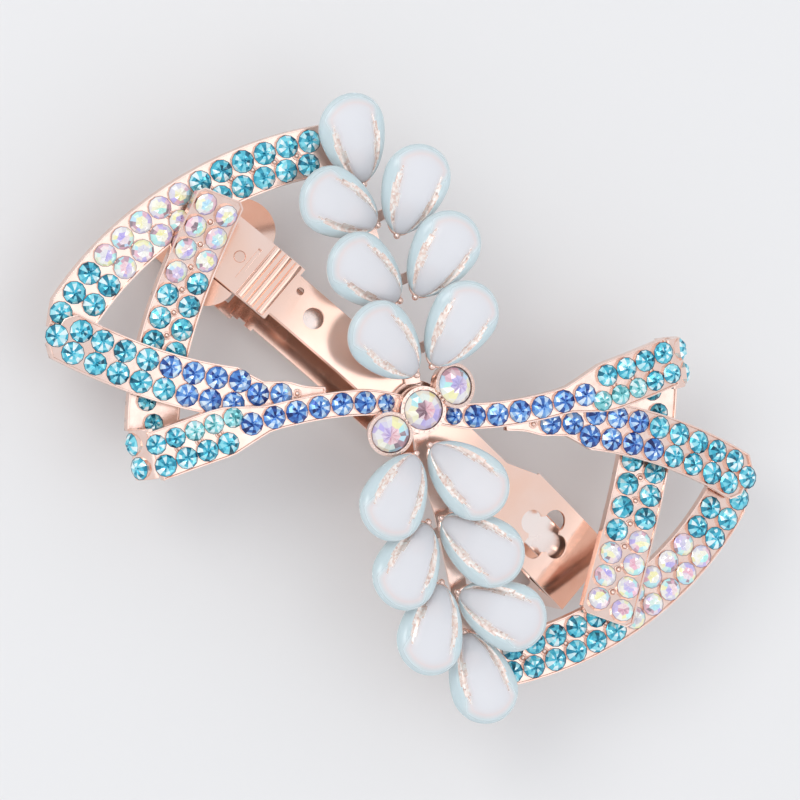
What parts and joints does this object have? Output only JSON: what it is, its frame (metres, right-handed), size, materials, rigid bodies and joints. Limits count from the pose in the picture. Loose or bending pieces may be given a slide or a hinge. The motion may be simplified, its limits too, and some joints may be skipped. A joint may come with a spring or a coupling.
{
  "type": "rhinestone hair clip",
  "caption": "Folded-ribbon bow set with round stones, crossed by a spray of frosted glass petals, on a sprung barrette clip.",
  "frame": {"origin": "on the surface the clip stands on, under the middle of the bow", "axes": "+Z out of the decorated side, +X along the bow's long axis, +Y along the petal spray"},
  "size_m": [0.083, 0.0748, 0.0208],
  "materials": {
    "rose_gold_cast": "polished rose-gold plate on a casting",
    "rose_gold_strip": "bright rose-gold plate on pressed strip",
    "spring_steel": "bright spring strip",
    "pin_steel": "bright pin",
    "aqua_stone": "faceted foil-backed glass",
    "sapphire_stone": "faceted foil-backed glass",
    "seafoam_stone": "faceted foil-backed glass",
    "aurora_stone": "faceted glass with an iridescent coating",
    "petal_glass": "frosted glass cabochon with clear rims"
  },
  "bodies": {
    "bow": {"left_outer_ribbon_upper": "rose_gold_cast", "left_outer_ribbon_lower": "rose_gold_cast", "left_corner_joint": "rose_gold_cast", "left_inner_ribbon_front": "rose_gold_cast", "left_inner_ribbon_fold": "rose_gold_cast", "left_inner_ribbon_back": "rose_gold_cast", "left_aqua_stones": "aqua_stone", "left_sapphire_stones": "sapphire_stone", "left_seafoam_stones": "seafoam_stone", "left_aurora_stones": "aurora_stone", "left_prong_beads": "rose_gold_cast", "right_outer_ribbon_upper": "rose_gold_cast", "right_outer_ribbon_lower": "rose_gold_cast", "right_corner_joint": "rose_gold_cast", "right_inner_ribbon_front": "rose_gold_cast", "right_inner_ribbon_fold": "rose_gold_cast", "right_inner_ribbon_back": "rose_gold_cast", "right_aqua_stones": "aqua_stone", "right_sapphire_stones": "sapphire_stone", "right_seafoam_stones": "seafoam_stone", "right_aurora_stones": "aurora_stone", "right_prong_beads": "rose_gold_cast", "centre_setting": "rose_gold_cast", "centre_saddle": "rose_gold_cast", "centre_crystal": "aurora_stone", "left_crystal": "aurora_stone", "right_crystal": "aurora_stone", "upper_spray_branch": "rose_gold_cast", "lower_spray_branch": "rose_gold_cast", "upper_petal_tip": "petal_glass", "upper_petal_outer_left": "petal_glass", "upper_petal_outer_right": "petal_glass", "upper_petal_middle_left": "petal_glass", "upper_petal_middle_right": "petal_glass", "upper_petal_inner_left": "petal_glass", "upper_petal_inner_right": "petal_glass", "lower_petal_tip": "petal_glass", "lower_petal_outer_left": "petal_glass", "lower_petal_outer_right": "petal_glass", "lower_petal_middle_left": "petal_glass", "lower_petal_middle_right": "petal_glass", "lower_petal_inner_left": "petal_glass", "lower_petal_inner_right": "petal_glass", "base_plate": "rose_gold_strip", "hinge_pin": "pin_steel", "catch_bracket": "rose_gold_strip", "catch_rivet": "pin_steel", "tension_bar_pin": "pin_steel"},
    "arm": {"locking_arm": "rose_gold_strip"},
    "tension_bar": {"tension_bar": "spring_steel"},
    "catch_lever_left": {"catch_lever_left": "rose_gold_strip"},
    "catch_lever_right": {"catch_lever_right": "rose_gold_strip"}
  },
  "joints": [
    {"name": "arm_hinge", "type": "hinge", "parent": "bow", "child": "arm", "pos_m": [0.01884, -0.0227, 0.0013], "axis": [-0.7694, -0.6388, 0], "range_deg": [0, 75]},
    {"name": "tension_bar_flex", "type": "hinge", "parent": "bow", "child": "tension_bar", "pos_m": [0.01763, -0.02124, 0.00864], "axis": [0.7694, 0.6388, 0], "range_deg": [0, 1.6], "stiffness_Nm_per_rad": 0.2},
    {"name": "catch_squeeze_left", "type": "hinge", "parent": "bow", "child": "catch_lever_left", "pos_m": [-0.01435, 0.02206, 0.00942], "axis": [-0.6061, 0.7301, -0.3155], "range_deg": [0, 5], "stiffness_Nm_per_rad": 0.1},
    {"name": "catch_squeeze_right", "type": "hinge", "parent": "bow", "child": "catch_lever_right", "pos_m": [-0.01904, 0.01816, 0.00942], "axis": [0.6061, -0.7301, 0.3155], "range_deg": [0, 5], "stiffness_Nm_per_rad": 0.1}
  ]
}
